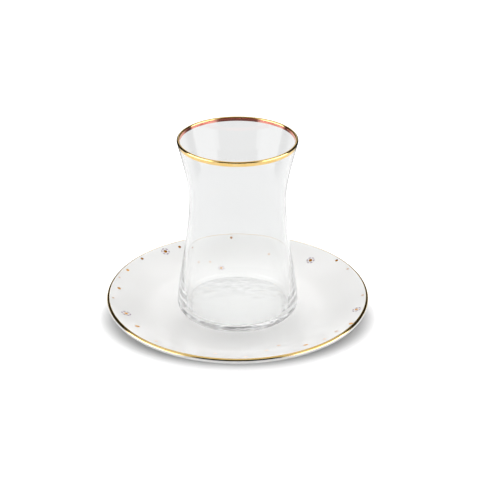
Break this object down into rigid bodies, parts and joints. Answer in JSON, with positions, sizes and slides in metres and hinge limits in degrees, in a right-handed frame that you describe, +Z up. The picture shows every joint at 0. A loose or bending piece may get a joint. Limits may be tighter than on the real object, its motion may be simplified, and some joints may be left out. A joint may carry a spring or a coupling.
{
  "type": "turkish tea glass and saucer",
  "caption": "Waisted clear tea glass with a gilded lip, standing empty on a gold-lined white porcelain saucer with small sprigs, for serving hot tea.",
  "frame": {"origin": "middle of the saucer's foot ring, in the plane that the foot ring rests on", "axes": "+Z up along the common axis of the saucer and the glass; +X and +Y lie in the resting plane, and the piece is round, so either may point any way"},
  "size_m": [0.132, 0.132, 0.0972],
  "materials": {
    "clear_glass": "polished, colourless",
    "glass_gold": "fired bright gold, polished",
    "white_porcelain": "clear gloss glaze",
    "saucer_gold": "fired bright gold, polished"
  },
  "bodies": {
    "root": {"tea_glass": "clear_glass", "glass_gold_rim": "glass_gold", "saucer": "white_porcelain", "saucer_gold_line": "saucer_gold"}
  },
  "joints": []
}
